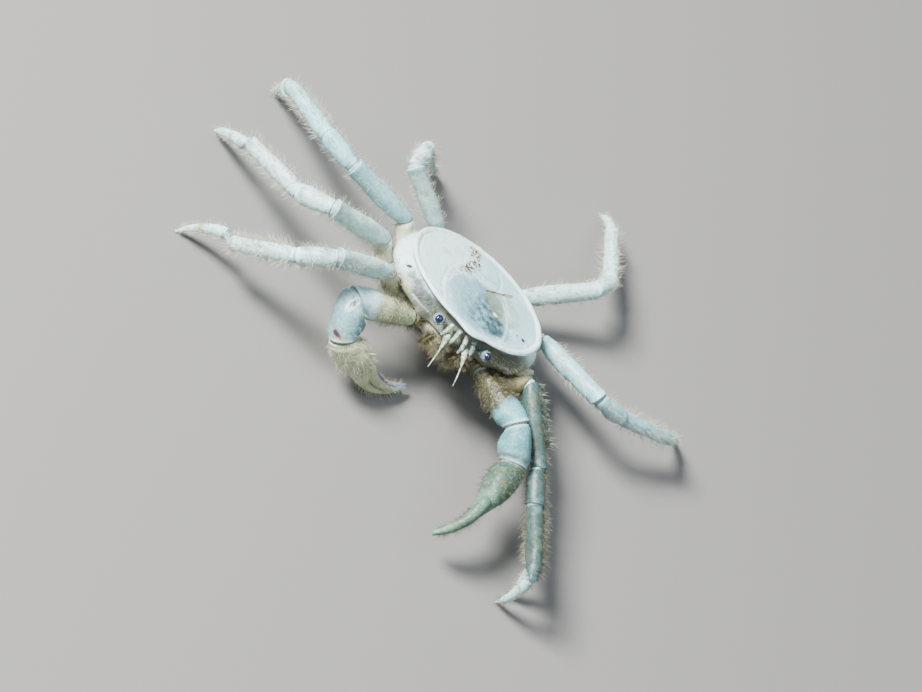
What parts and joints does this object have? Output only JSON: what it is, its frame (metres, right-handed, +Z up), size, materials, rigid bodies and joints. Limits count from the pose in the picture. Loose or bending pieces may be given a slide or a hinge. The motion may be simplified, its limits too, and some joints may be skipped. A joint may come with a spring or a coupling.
{
  "type": "thai micro crab",
  "caption": "Tiny freshwater crab standing on long thin legs, with a flat rimmed disc of a body and slender closed claws.",
  "frame": {"origin": "on the floor, under the middle of the crab's bounding box", "axes": "+Z up, -Y the way the crab faces, +X the crab's left"},
  "size_m": [0.0316, 0.0272, 0.007],
  "materials": {
    "shell": "satin",
    "underside": "matte",
    "leg": "satin",
    "leg_tip": "satin",
    "claw": "satin",
    "feeler": "satin",
    "eye": "gloss"
  },
  "bodies": {
    "root": {"carapace": "shell", "sternum": "underside", "pleon": "underside", "eye_right": "eye", "antenna_right": "feeler", "maxilliped_right": "underside", "claw_right_arm": "claw", "claw_right_wrist": "claw", "claw_right_palm": "claw", "claw_right_finger": "claw", "leg_1_right_merus": "leg", "leg_1_right_carpus": "leg", "leg_1_right_propodus": "leg", "leg_1_right_dactyl": "leg_tip", "leg_2_right_merus": "leg", "leg_2_right_carpus": "leg", "leg_2_right_propodus": "leg", "leg_2_right_dactyl": "leg_tip", "leg_3_right_merus": "leg", "leg_3_right_carpus": "leg", "leg_3_right_propodus": "leg", "leg_3_right_dactyl": "leg_tip", "leg_4_right_merus": "leg", "leg_4_right_carpus": "leg", "leg_4_right_propodus": "leg", "leg_4_right_dactyl": "leg_tip", "eye_left": "eye", "antenna_left": "feeler", "maxilliped_left": "underside", "claw_left_arm": "claw", "claw_left_wrist": "claw", "claw_left_palm": "claw", "claw_left_finger": "claw", "leg_1_left_merus": "leg", "leg_1_left_carpus": "leg", "leg_1_left_propodus": "leg", "leg_1_left_dactyl": "leg_tip", "leg_2_left_merus": "leg", "leg_2_left_carpus": "leg", "leg_2_left_propodus": "leg", "leg_2_left_dactyl": "leg_tip", "leg_3_left_merus": "leg", "leg_3_left_carpus": "leg", "leg_3_left_propodus": "leg", "leg_3_left_dactyl": "leg_tip", "leg_4_left_merus": "leg", "leg_4_left_carpus": "leg", "leg_4_left_propodus": "leg", "leg_4_left_dactyl": "leg_tip"}
  },
  "joints": []
}
